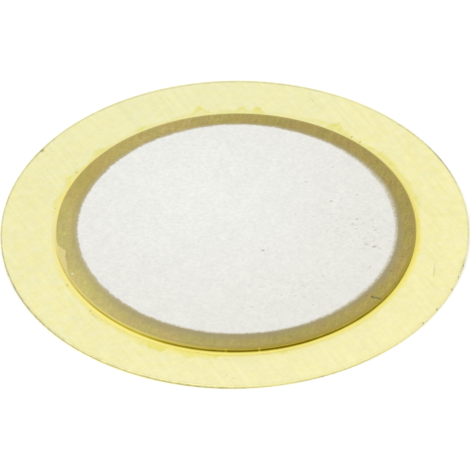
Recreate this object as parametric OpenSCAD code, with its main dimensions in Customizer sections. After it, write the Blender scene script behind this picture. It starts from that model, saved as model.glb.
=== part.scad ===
// Piezo disc: a thin brass plate that carries a smaller disc of piezoelectric
// ceramic. The ceramic is silvered on both faces and bonded down with epoxy,
// so the plate is one terminal and the upper silver face is the other.
//
// Millimetres. The origin is the centre of the plate's underside, and +Z
// points from the brass to the upper silver face.

/* [Brass plate] */
// Diameter of the plate
brass_d = 27; // [24:0.5:35]
// Thickness of the strip that the plate is blanked from
brass_t = 0.2; // [0.1:0.01:0.5]
// Radius that blanking rolls over on the plate's upper edge
rollover_r = 0.04; // [0.01:0.01:0.08]

/* [Ceramic disc] */
// Diameter of the ceramic disc
ceramic_d = 20.72; // [14:0.02:22]
// Thickness of the ceramic disc
ceramic_t = 0.22; // [0.1:0.01:0.4]
// Width of the broken upper edge
ceramic_edge = 0.02; // [0.005:0.005:0.02]
// How far along X the ceramic was laid off the plate's centre
ceramic_x = 0.08; // [-0.3:0.01:0.3]
// How far along Y the ceramic was laid off the plate's centre
ceramic_y = -0.22; // [-0.3:0.01:0.3]

/* [Silver electrodes] */
// Bare ceramic left round the upper electrode, on average
upper_border = 1.14; // [0.6:0.02:2]
// Thickness of the upper electrode
upper_t = 0.015; // [0.01:0.001:0.03]
// How far along X the upper electrode was printed off the ceramic's centre
upper_x = 0.06; // [-0.3:0.01:0.3]
// How far along Y the upper electrode was printed off the ceramic's centre
upper_y = 0.07; // [-0.3:0.01:0.3]
// Bare ceramic left round the lower electrode
lower_border = 0.16; // [0.1:0.02:1]
// Thickness of the lower electrode
lower_t = 0.01; // [0.01:0.001:0.03]

/* [Epoxy bond] */
// Thickness of the bond under the lower electrode
bond_t = 0.03; // [0.01:0.01:0.08]
// Width of the fillet that is squeezed out round the ceramic
fillet_w = 0.28; // [0.1:0.02:0.4]
// Share of the ceramic's side that the fillet climbs
fillet_climb = 0.5; // [0.2:0.05:0.8]
// Height of the fillet's outer toe
fillet_toe = 0.01; // [0.005:0.005:0.01]

/* [Hidden] */
$fn = 96;

brass_r = brass_d / 2;
ceramic_r = ceramic_d / 2;
upper_r = ceramic_r - upper_border;
lower_r = ceramic_r - lower_border;

// Heights of the faces where one layer meets the next, from the bottom up
bond_z = brass_t;
lower_z = bond_z + bond_t;
ceramic_z = lower_z + lower_t;
upper_z = ceramic_z + ceramic_t;

// The fillet's height above the brass, never more than its width, and the
// radius of its hollow face
fillet_h = min(ceramic_z + fillet_climb * ceramic_t - bond_z, fillet_w + fillet_toe);
hollow_h = fillet_h - fillet_toe;
hollow_r = (pow(fillet_w, 2) + pow(hollow_h, 2)) / (2 * hollow_h);

// Puts its children on the ceramic's own axis
module on_ceramic_axis() {
    translate([ceramic_x, ceramic_y, 0]) children();
}

// A flat disc from height z up
module layer(r, z, t) {
    translate([0, 0, z]) cylinder(r = r, h = t);
}

// The blanked plate: flat below, with a small round on its upper edge
module brass_plate() {
    color("#F0EAB4") rotate_extrude() {
        square([brass_r - rollover_r, brass_t]);
        square([brass_r, brass_t - rollover_r]);
        translate([brass_r - rollover_r, brass_t - rollover_r]) circle(r = rollover_r);
    }
}

// The epoxy: a thin bond under the ceramic, thicker round the lower electrode's
// rim, and a hollow-faced fillet outside the ceramic's foot
module adhesive_layer() {
    color("#DCC863") on_ceramic_axis() rotate_extrude() difference() {
        polygon([
            [0, bond_z],
            [ceramic_r + fillet_w, bond_z],
            [ceramic_r + fillet_w, bond_z + fillet_h],
            [ceramic_r, bond_z + fillet_h],
            [ceramic_r, ceramic_z],
            [lower_r, ceramic_z],
            [lower_r, lower_z],
            [0, lower_z]
        ]);
        translate([ceramic_r + fillet_w, bond_z + fillet_toe + hollow_r]) circle(r = hollow_r);
    }
}

// The fired silver on the ceramic's underside
module lower_electrode() {
    color("#D9D8D2") on_ceramic_axis() layer(lower_r, lower_z, lower_t);
}

// The ceramic, with its upper edge broken
module ceramic_disc() {
    color("#AD9F68") on_ceramic_axis() rotate_extrude() polygon([
        [0, ceramic_z],
        [ceramic_r, ceramic_z],
        [ceramic_r, upper_z - ceramic_edge],
        [ceramic_r - ceramic_edge, upper_z],
        [0, upper_z]
    ]);
}

// The printed and fired silver on the ceramic's upper face
module upper_electrode() {
    color("#EBEAE4") on_ceramic_axis() translate([upper_x, upper_y, 0]) layer(upper_r, upper_z, upper_t);
}

brass_plate();
adhesive_layer();
lower_electrode();
ceramic_disc();
upper_electrode();
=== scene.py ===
"""Finish of a bare piezo disc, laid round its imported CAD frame.

A brass plate carries a smaller disc of piezo ceramic, bonded down with epoxy and silvered on its
upper face. Geometry Nodes turn each round piece from its profile and then spoil it where the
real one is spoilt: a nick and burrs on the brass, a chip on the ceramic, a ragged print edge on
the silver, and smears of epoxy round the ceramic's foot.

Lengths are metres in the frame's own axes. Finishes are laid out in the same axes in millimetres,
and a name that ends in _mm is in millimetres too. Angles are degrees, anticlockwise from +X as
seen from above.
"""

import logging
import math
from abc import ABC, abstractmethod
from collections.abc import Iterable
from dataclasses import dataclass
from enum import Enum
from functools import cached_property
from typing import ClassVar

import bpy
from mathutils import Matrix, Vector


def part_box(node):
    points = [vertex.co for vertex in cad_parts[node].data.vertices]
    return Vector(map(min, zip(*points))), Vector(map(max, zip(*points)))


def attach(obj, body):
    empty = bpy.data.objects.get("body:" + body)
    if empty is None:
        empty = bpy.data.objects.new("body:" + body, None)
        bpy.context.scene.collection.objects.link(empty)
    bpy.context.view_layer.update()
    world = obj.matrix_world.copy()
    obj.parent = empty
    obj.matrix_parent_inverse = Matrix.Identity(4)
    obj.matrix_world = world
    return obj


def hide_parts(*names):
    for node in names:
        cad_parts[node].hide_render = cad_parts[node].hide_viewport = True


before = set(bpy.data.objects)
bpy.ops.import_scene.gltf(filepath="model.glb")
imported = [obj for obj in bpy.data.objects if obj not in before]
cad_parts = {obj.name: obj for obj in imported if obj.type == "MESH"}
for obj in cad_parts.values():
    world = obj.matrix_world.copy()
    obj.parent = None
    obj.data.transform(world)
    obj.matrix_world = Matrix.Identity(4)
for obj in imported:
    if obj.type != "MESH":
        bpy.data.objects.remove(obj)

MM = 0.001
LOG = logging.getLogger("piezo_disc")

Node = bpy.types.Node
Socket = bpy.types.NodeSocket
Value = Node | Socket | float | tuple[float, ...]
Colour = tuple[float, float, float, float]
# A point is a place on a plan, or a distance from an axis and a height.
Point = tuple[float, float]


def linear(code: str) -> Colour:
    """Turns an sRGB hex colour into the linear colour that a shader takes.

    Args:
        code: The colour as #RRGGBB.

    Returns:
        Linear red, green and blue, with an alpha of 1.
    """
    shares = [int(code[place : place + 2], 16) / 255 for place in (1, 3, 5)]
    red, green, blue = (s / 12.92 if s <= 0.04045 else ((s + 0.055) / 1.055) ** 2.4 for s in shares)
    return red, green, blue, 1.0


def emptied(block: bpy.types.Material | bpy.types.World) -> bpy.types.NodeTree:
    """Turns on the nodes of a material or a world and clears them.

    Args:
        block: The material or the world.

    Returns:
        Its tree, with no nodes in it.
    """
    block.use_nodes = True
    block.node_tree.nodes.clear()
    return block.node_tree


# ---------------------------------------------------------------- places and sizes


@dataclass(frozen=True)
class Layer:
    """Where one round CAD node lies.

    Attributes:
        x: Where its axis is along X.
        y: Where its axis is along Y.
        radius: Its outer radius.
        bottom: The height of its lowest face.
        top: The height of its highest face.
    """

    x: float
    y: float
    radius: float
    bottom: float
    top: float

    @classmethod
    def of(cls, node: str) -> "Layer":
        """Reads the layer from the box of a CAD node.

        Args:
            node: The node's name.

        Returns:
            The layer.
        """
        low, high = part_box(node)
        middle = (low + high) / 2
        return cls(middle.x, middle.y, (high.x - low.x) / 2, low.z, high.z)

    @property
    def axis_mm(self) -> Point:
        """Where its axis is, in millimetres."""
        return self.x / MM, self.y / MM

    @property
    def rim_mm(self) -> float:
        """Its outer radius, in millimetres."""
        return self.radius / MM


@dataclass(frozen=True)
class Bell:
    """A rise somewhere round a rim.

    Attributes:
        angle: Where its middle is, in degrees.
        spread: Its standard deviation, in degrees.
        height: How far it rises.
    """

    angle: float
    spread: float
    height: float


@dataclass(frozen=True)
class Mark:
    """A small oval mark on a face, such as a pinhole, a scratch or a stain.

    Attributes:
        x_mm: Where its middle is along X.
        y_mm: Where its middle is along Y.
        length_mm: How long it is.
        width_mm: How wide it is.
        turn: The direction of its length, in degrees.
        depth: How strongly it shows, from 0 to 1.
        z_mm: The height of its middle.
        tall_mm: How far it reaches in height, which is through every level unless it is small.
    """

    x_mm: float
    y_mm: float
    length_mm: float
    width_mm: float
    turn: float
    depth: float
    z_mm: float = 0.0
    tall_mm: float = 200.0


def bells(*rows: tuple[float, float, float], unit: float = 1.0) -> tuple[Bell, ...]:
    """Makes bells from rows of angle, spread and height. The heights are counted in the unit."""
    return tuple(Bell(angle, spread, height * unit) for angle, spread, height in rows)


def ovals(*rows: tuple[float, ...]) -> tuple[Mark, ...]:
    """Makes marks from a table of their numbers, in the order of a mark's own fields."""
    return tuple(Mark(*row) for row in rows)


def spokes(*rows: tuple[float, ...]) -> tuple[Mark, ...]:
    """Makes marks whose length lies along a radius from the centre.

    Args:
        rows: For each mark the radius's direction, in degrees, how far out the mark's middle is,
            in millimetres, and then its length, width and depth. A row may end with the height
            of its middle and how tall it is.

    Returns:
        The marks.
    """
    made = []
    for angle, out_mm, long_mm, wide_mm, *rest in rows:
        turn = math.radians(angle)
        spot = (out_mm * math.cos(turn), out_mm * math.sin(turn))
        made.append(Mark(*spot, long_mm, wide_mm, angle, *rest))
    return tuple(made)


Bells = tuple[Bell, ...]
Marks = tuple[Mark, ...]


# ---------------------------------------------------------------- node trees


class Tree:
    """A node tree that is being wired up.

    Attributes:
        own: Blender's tree.
        turn: Each point's angle about an upright axis, in radians.
    """

    # The setting that says what a node of each kind does.
    CHOICE: ClassVar[dict[str, str]] = {
        "Math": "operation",
        "VectorMath": "operation",
        "Mix": "data_type",
        "MapRange": "interpolation_type",
        "Mapping": "vector_type",
    }

    turn: Value

    def __init__(self, own: bpy.types.NodeTree) -> None:
        """Takes Blender's own tree."""
        self.own = own

    def add(self, kind: str, *values: Value, **named: object) -> Node:
        """Adds one node, sets it up and fills its inputs.

        A node that is given as an input is linked by its first live output and a socket is linked
        as it is. Anything else becomes the input's own value.

        Args:
            kind: The node's type, without "ShaderNode" before it, and then what the node does,
                if that is a choice, as in "Math ADD".
            values: What goes into its first live inputs, in their order.
            named: Its other inputs and its settings, by name, in lower case and with _ for each
                space. A colour ramp also takes stops, which gives its colours by place.

        Returns:
            The new node.
        """
        name, _, choice = kind.partition(" ")
        whole = name.startswith(("Geometry", "NodeGroup"))
        node = self.own.nodes.new(name if whole else f"ShaderNode{name}")
        if choice:
            setattr(node, self.CHOICE[name], choice)
        for number, (place, colour) in enumerate(named.pop("stops", {}).items()):
            stops = node.color_ramp.elements
            stop = stops[number] if number < len(stops) else stops.new(place)
            stop.position = place
            stop.color = colour
        labels = {socket.name.lower().replace(" ", "_") for socket in node.inputs}
        for label in [label for label in named if label not in labels]:
            setattr(node, label, named.pop(label))
        live = [socket for socket in node.inputs if socket.enabled]
        by_name = {socket.name.lower().replace(" ", "_"): socket for socket in reversed(live)}
        for socket, value in [*zip(live, values), *((by_name[label], named[label]) for label in named)]:
            if isinstance(value, Node):
                value = next(output for output in value.outputs if output.enabled)
            if isinstance(value, Socket):
                self.own.links.new(value, socket)
            else:
                socket.default_value = value
        return node

    def near(self, bell: Bell) -> Node:
        """Adds a bell's curve round the circle: 1 at its middle, fading out on both sides.

        Args:
            bell: The bell, whose height isn't used.

        Returns:
            The curve.
        """
        away = self.add("Math SUBTRACT", self.turn, math.radians(bell.angle))
        facing = self.add("Math COSINE", away)
        sharpness = 1 / math.radians(bell.spread) ** 2
        power = self.add("Math MULTIPLY_ADD", facing, sharpness, -sharpness)
        return self.add("Math EXPONENT", power)

    def raised(self, places: Iterable[Bell], start: float) -> Value:
        """Adds a level round the circle, with bells raised on it.

        Args:
            places: The bells.
            start: The level away from them.

        Returns:
            The level.
        """
        level = start
        for bell in places:
            level = self.add("Math MULTIPLY_ADD", self.near(bell), bell.height, level)
        return level


class Skin(Tree):
    """A material's tree, with each point's place in it and about an upright axis.

    Attributes:
        axis_mm: Where the axis is, in millimetres.
        place: Each point's place in the frame's axes, in millimetres.
    """

    def __init__(self, own: bpy.types.NodeTree, axis_mm: Point) -> None:
        """Adds each point's place.

        Args:
            own: The material's tree.
            axis_mm: Where the axis is.
        """
        super().__init__(own)
        self.axis_mm = axis_mm
        metres = self.add("TexCoord").outputs["Object"]
        self.place = self.add("VectorMath SCALE", metres, 1 / MM)

    def about(self, axis_mm: Point) -> "Skin":
        """Gives the same tree seen from another axis."""
        return Skin(self.own, axis_mm)

    @cached_property
    def offset(self) -> Node:
        """Each point's offset from the axis in millimetres, with no height left in it."""
        aside = self.add("VectorMath SUBTRACT", self.place, (*self.axis_mm, 0.0))
        return self.add("VectorMath MULTIPLY", aside, (1.0, 1.0, 0.0))

    @cached_property
    def reach(self) -> Socket:
        """Each point's distance from the axis, in millimetres."""
        return self.add("VectorMath LENGTH", self.offset).outputs["Value"]

    @cached_property
    def turn(self) -> Node:
        """Each point's angle about the axis, in radians."""
        parts = self.add("SeparateXYZ", self.offset).outputs
        return self.add("Math ARCTAN2", parts["Y"], parts["X"])

    def tilted(self, turn: float, radius_mm: float) -> Socket:
        """Adds a slope that rises evenly across a disc, from -1 to 1.

        Args:
            turn: The direction that it rises in, in degrees.
            radius_mm: The disc's radius.

        Returns:
            The slope.
        """
        way = math.radians(turn)
        slope = (math.cos(way) / radius_mm, math.sin(way) / radius_mm, 0.0)
        return self.add("VectorMath DOT_PRODUCT", self.offset, slope).outputs["Value"]

    def drawn(self, turn: float, length_mm: float, width_mm: float) -> Node:
        """Adds noise drawn out into streaks.

        Args:
            turn: The direction of the streaks, in degrees.
            length_mm: About how long a streak is.
            width_mm: About how wide it is.

        Returns:
            The noise, from 0 to 1.
        """
        lie = (0.0, 0.0, math.radians(turn))
        scale = (length_mm, width_mm, length_mm)
        along = self.add("Mapping TEXTURE", self.place, rotation=lie, scale=scale)
        return self.add("TexNoise", along, scale=1.0, detail=2.0, roughness=0.55)

    def marked(self, place: Node, marks: Iterable[Mark]) -> Value:
        """Adds a mask of oval marks.

        Args:
            place: Each point's place in millimetres, from where the marks' own are taken.
            marks: The marks to draw.

        Returns:
            The strongest mark at each point.
        """
        strongest = 0.0
        for mark in marks:
            local = self.add(
                "Mapping TEXTURE",
                place,
                location=(mark.x_mm, mark.y_mm, mark.z_mm),
                rotation=(0.0, 0.0, math.radians(mark.turn)),
                scale=(mark.length_mm / 2, mark.width_mm / 2, mark.tall_mm / 2),
            )
            reach = self.add("VectorMath LENGTH", local).outputs["Value"]
            mask = self.add("MapRange SMOOTHSTEP", reach, 1.3, 0.3, 0.0, mark.depth)
            strongest = self.add("Math MAXIMUM", strongest, mask)
        return strongest

    def coated(self, base: Value | str, *coats: tuple[Value, Value | str]) -> Node:
        """Lays colours over a base, one after another.

        Args:
            base: The colour underneath, or its hex code.
            coats: How much of each coat shows, from 0 to 1, and its colour or its hex code.

        Returns:
            The colour on top.
        """
        for share, coat in coats:
            below, above = (linear(tone) if isinstance(tone, str) else tone for tone in (base, coat))
            base = self.add("Mix RGBA", share, below, above)
        return base

    def finished(
        self, colour: Value, grain: Value, gloss: Point, relief_mm: float, **more: float
    ) -> Node:
        """Adds the surface itself, rougher and standing higher where its grain does.

        Args:
            colour: Its colour.
            grain: Its grain, from 0 to 1.
            gloss: Its roughness where the grain is low and where it is high.
            relief_mm: How high the grain stands.
            more: The shader's other values.

        Returns:
            The shader.
        """
        rough = self.add("MapRange", grain, 0.3, 0.7, *gloss)
        relief = self.add("Bump", strength=1.0, distance=relief_mm * MM, height=grain)
        return self.add("BsdfPrincipled", base_color=colour, roughness=rough, normal=relief, **more)


# ---------------------------------------------------------------- finishes


@dataclass(frozen=True)
class Finish(ABC):
    """A surface finish, which becomes one node material.

    Attributes:
        layer: The layer that it is laid out round.
    """

    name: ClassVar[str]
    slot: ClassVar[str]

    layer: Layer

    @abstractmethod
    def surface(self, skin: Skin) -> Node:
        """Adds the finish's nodes to a material's tree and gives the surface shader."""

    def build(self) -> bpy.types.Material:
        """Makes the material.

        Returns:
            The material.
        """
        material = bpy.data.materials.new(self.name)
        skin = Skin(emptied(material), self.layer.axis_mm)
        skin.add("OutputMaterial", self.surface(skin))
        return material


@dataclass(frozen=True)
class RolledBrass(Finish):
    """Brass strip, cold rolled, wiped clean and blanked into a disc.

    To the eye it is a pale bright yellow with fine straight hairlines across the whole disc, a
    slow drift of tone in random patches and as painted shade darkening one side, darker yellow
    where epoxy was smeared over it round the ceramic, a dark line of painted shade along the
    rolled edge, and a duller line where blanking tore its edge.

    Attributes:
        ceramic: Where the ceramic lies, which the smears surround.
        bright: The clean face.
        dull: The face where it is painted darker, partly as painted shade and partly in random patches.
        warm: The face where it is a little warmer.
        halo: The face under the thin epoxy next to the fillet.
        smeared: The face under a smear.
        rim_shade: The rolled edge where it is painted darker, as painted shade.
        cut: The upper band of the edge, which the punch cut.
        torn: The lower band of the edge, which tore.
        dirt: What has caught in scratches.
        grain_turn: The direction of rolling, in degrees.
        dull_turn: The side of the plate that is painted darkest, as painted shade, in degrees.
        wipe_turn: The direction of wiping, in degrees.
    """

    name: ClassVar[str] = "rolled_brass_strip"
    slot: ClassVar[str] = "rolled_brass"

    ceramic: Layer
    bright: str = "#F7F2BE"
    dull: str = "#EFEDC0"
    warm: str = "#F3E88E"
    halo: str = "#FAEE7E"
    smeared: str = "#E6DE74"
    rim_shade: str = "#98967E"
    cut: str = "#EDE6A6"
    torn: str = "#8D8652"
    dirt: str = "#8F8A3A"
    grain_turn: float = 117.0
    dull_turn: float = 128.0
    wipe_turn: float = 52.0

    # Every table of bells gives angle, spread and height. This one says how far each smear
    # reaches beyond the level, in millimetres from the plate's centre.
    smear_level: ClassVar[float] = 10.35
    smears: ClassVar[Bells] = bells(
        (12, 4, 0.36), (22, 5, 0.28), (35.5, 5.5, 0.36), (51, 1.2, 0.2), (53.3, 1.4, 0.2),
        (56.4, 1.3, 0.52), (61.5, 3.2, 0.34), (72.5, 2.5, 0.22), (82.3, 1.2, 0.42), (87, 0.8, 0.42),
        (100.3, 1.1, 0.68), (104.5, 2, 0.15), (120.5, 1.3, 0.25), (137.8, 2, 0.3), (150, 1.5, 0.2),
        (153.8, 1.8, 0.2), (160, 3, 0.12), (166.5, 2.2, 0.3), (199, 6, 0.15), (213, 7, 0.25),
        (224.5, 3.5, 0.3), (234, 3.5, 0.3), (80, 42, 0.2), (93, 5, 0.12), (240.2, 2.2, 0.45),
        (244.3, 1.3, 0.42), (246.8, 1.1, 0.42), (248.1, 0.6, 0.3), (255.4, 2.1, 0.48), (260, 2, 0.2),
        (263.5, 1.2, 0.22), (275, 34, 0.45), (283.8, 1.3, 0.22), (312, 6, 0.2), (297, 2.5, 0.15),
        (325, 10, 0.15),
    )
    # Where a smear is thick, and where the halo is, by how much.
    thickness: ClassVar[Bells] = bells(
        (15, 8, 0.35), (35, 9, 0.5), (56.5, 1.3, 0.75), (82.5, 1.3, 0.9), (87, 1.2, 0.2),
        (100.3, 1.6, 0.35), (120.5, 1.5, 0.4), (137.8, 1.8, 0.8), (154.5, 1.9, 0.8), (159, 2.2, 0.5),
        (166.5, 2, 0.3), (228, 8, 0.25), (246, 2.8, 1.5), (255.4, 2.6, 0.8), (263.5, 1.5, 0.8),
        (75, 9, -0.1), (61, 3.5, 0.3), (52, 2, 0.3), (91, 7, 0.2), (149, 3, 0.35), (288, 22, -0.42),
        (283.8, 1.4, 0.8), (314, 7, 0.3),
    )
    halo_depth: ClassVar[Bells] = bells((292, 42, 0.28), (257, 9, 0.4), (5, 30, 0.35), (105, 40, 0.1))
    # How much further the halo reaches, in millimetres.
    halo_reach: ClassVar[Bells] = bells((268, 42, 0.3), (249, 11, 0.37), (285, 6, 0.15))
    # Where the face is warmer, by how much.
    warmth: ClassVar[Bells] = bells((15, 42, 0.35), (178, 30, 0.3), (229, 20, 0.2))
    # Where painted shade darkens the rolled edge, by how much, and how far out its dark line lies.
    rim_shading: ClassVar[Bells] = bells(
        (25, 6, 0.7), (40, 7, 0.25), (78, 14, 0.2), (118, 30, 0.25), (147.5, 4, 0.3), (165, 9, 0.2),
        (197, 13, 0.75), (238, 16, 0.4), (345, 3, 0.25), (0, 7, 0.28),
    )
    dark_line: ClassVar[Bells] = bells(
        (92, 42, -0.05), (200, 24, 0.1), (245, 24, 0.07), (353, 17, 0.08), (25, 8, 0.055),
    )
    # Torn and worn places along the side, by how much, and how far up the torn band lies.
    torn_places: ClassVar[Bells] = bells(
        (199, 10, 1), (221, 9, 0.45), (248, 12, 0.42), (266, 7, 0.42), (293, 7, 0.45), (325, 14, -0.05),
        (345, 2.5, 0.25),
    )
    torn_height: ClassVar[Bells] = bells(
        (203, 10, 0.04), (242, 14, 0.05), (270, 9, -0.025), (296, 6, -0.05), (317, 12, 0.05),
    )
    # Scratches, and specks of dirt round the ceramic. The last six lie at the rim, where a nick
    # and the burrs have caught dirt.
    marks: ClassVar[Marks] = (
        *ovals(
            (11.38, -3.85, 1.25, 0.16, 84.7, 0.2), (11.35, -4.15, 0.6, 0.1, 84, 0.25),
            (4.7, 11.5, 0.6, 0.07, 118, 0.25), (11.15, -4.9, 1.5, 0.06, 114, 0.16),
            (11.55, -5.4, 1.3, 0.06, 116, 0.14), (-0.6, -12.6, 0.35, 0.06, 60, 0.25),
            (-0.2, -12.85, 0.25, 0.07, 20, 0.25),
        ),
        *spokes(
            (46, 10.66, 0.18, 0.08, 0.75), (49.6, 10.68, 0.2, 0.1, 0.6),
            (150.1, 10.58, 0.26, 0.22, 0.3), (168.5, 10.54, 0.1, 0.12, 0.6),
            (206, 10.66, 0.14, 0.2, 0.8), (220, 10.76, 0.3, 0.09, 0.5), (222, 10.93, 0.07, 0.75, 0.35),
            (258.4, 10.83, 0.1, 0.3, 0.35), (267, 11.27, 0.05, 2, 0.12), (322.3, 10.8, 0.12, 0.14, 0.5),
            (146.9, 13.36, 0.3, 0.34, 0.6), (321.8, 13.5, 0.12, 0.2, 0.7, 0.14, 0.16),
            (327.9, 13.5, 0.12, 0.2, 0.9, 0.14, 0.16), (336.1, 13.5, 0.12, 0.24, 0.9, 0.14, 0.16),
            (340.9, 13.5, 0.12, 0.2, 0.9, 0.14, 0.16), (345.3, 13.5, 0.12, 0.26, 1, 0.14, 0.16),
        ),
    )

    def surface(self, skin: Skin) -> Node:
        """Lays stains, painted shade on the rolled edge, scratches and the blanked edge over hairlined
        metal.

        Args:
            skin: The material's tree.

        Returns:
            The surface shader.
        """
        height = skin.add("SeparateXYZ", skin.place).outputs["Z"]
        upper = skin.add("MapRange", height, 0.002, 0.006)
        lines = self.hairlines(skin)
        streaked = skin.add("Math MULTIPLY_ADD", lines, 0.15, 0.92)
        face = skin.add("VectorMath SCALE", self.drifted(skin, upper), streaked)
        edged = self.edged(skin, self.stained(skin, face), height)
        spoilt = skin.coated(edged, (skin.marked(skin.place, self.marks), self.dirt))
        # Only the upper side is spoilt. The underside was never worked on.
        sided = skin.coated(face, (upper, spoilt))
        return skin.finished(sided, lines, (0.26, 0.36), 0.0006, metallic=1.0)

    def hairlines(self, skin: Skin) -> Node:
        """Adds the lines from rolling, crossed by fainter ones from wiping.

        Args:
            skin: The material's tree.

        Returns:
            The lines, from 0 to 1.
        """
        # The lines are about 0.2 mm apart and run for several millimetres.
        rolled = skin.drawn(self.grain_turn, 5.0, 0.22)
        wiped = skin.drawn(self.wipe_turn, 3.0, 0.3)
        # Either set fades out here and there, over about 3 mm.
        share = skin.add("TexNoise", skin.place, scale=0.35, detail=1.0)
        part = skin.add("MapRange", share, 0.4, 0.75, 0.1, 0.6)
        return skin.add("Mix FLOAT", part, rolled, wiped)

    def drifted(self, skin: Skin, upper: Node) -> Node:
        """Adds the metal's colour: painted darker on one side as painted shade, patchy, and blotched with
        warmer tones.

        Args:
            skin: The material's tree.
            upper: 0 on the underside and 1 everywhere else.

        Returns:
            The colour.
        """
        add, place = skin.add, skin.place
        # Painted shade: the face is painted darker towards one side, mixed with random patches about 3 mm
        # wide.
        patches = add("TexNoise", place, scale=0.3, detail=4.0)
        drift = add("Math MULTIPLY_ADD", patches, 1.6, skin.tilted(self.dull_turn, self.layer.rim_mm))
        shaded_share = add("MapRange", drift, -0.3, 1.9)
        # The blotches are about 0.5 mm wide, with smaller ones in them.
        blotch = add("TexNoise", place, scale=2.0, detail=5.0, roughness=0.65)
        warmest = add("Math MULTIPLY_ADD", skin.raised(self.warmth, 0.0), upper, 0.3)
        warmth = add("MapRange", blotch, 0.3, 0.75, 0.0, warmest)
        toned = skin.coated(self.bright, (shaded_share, self.dull), (warmth, self.warm))
        haze = add("TexNoise", place, scale=2.6, detail=4.0, roughness=0.7)
        shade = add("Math MULTIPLY_ADD", haze, 0.17, 0.915)
        return add("VectorMath SCALE", toned, shade)

    def stained(self, skin: Skin, face: Node) -> Node:
        """Adds the thin epoxy that was wiped out over the brass from the ceramic's foot.

        Args:
            skin: The material's tree.
            face: The metal's colour.

        Returns:
            The stained colour.
        """
        add = skin.add
        wobble = add("TexNoise", skin.place, scale=3.2, detail=4.0, roughness=0.6)
        edge = add("Math MULTIPLY_ADD", wobble, 0.55, skin.raised(self.smears, self.smear_level))
        inner = add("Math SUBTRACT", edge, 0.32)
        # Wiping left the film thin in streaks, about 0.3 mm apart.
        streaky = add("MapRange", skin.drawn(self.wipe_turn, 1.2, 0.3), 0.3, 0.7, 0.3, 1.0)
        amount = add("Math MULTIPLY", streaky, skin.raised(self.thickness, 0.5), use_clamp=True)
        laid = add("MapRange SMOOTHSTEP", skin.reach, edge, inner, 0.0, amount)
        # It is thickest just inside its edge, where the wipe left off.
        back = add("Math SUBTRACT", inner, 0.3)
        ridge = add("MapRange", skin.reach, back, inner, 0.6, 1.0)
        film = add("Math MULTIPLY", laid, ridge)

        # The halo fades out unevenly from the fillet, and reaches furthest towards -Y.
        foot_mm = self.ceramic.rim_mm
        limit = add("Math MULTIPLY_ADD", wobble, 0.45, skin.raised(self.halo_reach, foot_mm + 0.2))
        strong = skin.raised(self.halo_depth, 0.3)
        away = skin.about(self.ceramic.axis_mm).reach
        halo = add("MapRange SMOOTHSTEP", away, limit, foot_mm + 0.1, 0.0, strong)
        return skin.coated(face, (film, self.smeared), (halo, self.halo))

    def edged(self, skin: Skin, face: Node, height: Socket) -> Node:
        """Adds painted shade along the rolled edge, the bright cut band and the torn band below it.

        Args:
            skin: The material's tree.
            face: The face's colour.
            height: Each point's height, in millimetres.

        Returns:
            The colour with its edge.
        """
        add, rim_mm = skin.add, self.layer.rim_mm
        streaks = add("TexNoise", skin.place, scale=3.0, detail=3.0)
        patchy = add("MapRange", streaks, 0.3, 0.7, 0.5, 1.2)
        # Painted shade: a dark line is painted along the rolled edge, in patches.
        dark = add("Math MULTIPLY", skin.raised(self.rim_shading, 0.05), patchy)
        off = add("Math SUBTRACT", skin.reach, skin.raised(self.dark_line, rim_mm - 0.1))
        apart = add("Math ABSOLUTE", off)
        line = add("MapRange SMOOTHSTEP", apart, 0.09, 0.02, 0.0, dark)

        # The torn band is ragged, and about as wide as the strip is thick.
        middle = skin.raised(self.torn_height, 0.025)
        above = add("Math SUBTRACT", height, add("Math MULTIPLY_ADD", streaks, 0.06, middle))
        tearing = add("MapRange SMOOTHSTEP", add("Math ABSOLUTE", above), 0.11, 0.01)
        torn = add("Math MULTIPLY", skin.raised(self.torn_places, 0.05), patchy)
        tear = add("Math MULTIPLY", tearing, torn, use_clamp=True)
        side = skin.coated(self.cut, (tear, self.torn))
        on_side = add("MapRange", skin.reach, rim_mm - 0.03, rim_mm - 0.01)
        below = add("MapRange", height, 0.195, 0.16)
        walled = add("Math MULTIPLY", on_side, below)
        return skin.coated(face, (line, self.rim_shade), (walled, side))


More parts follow.
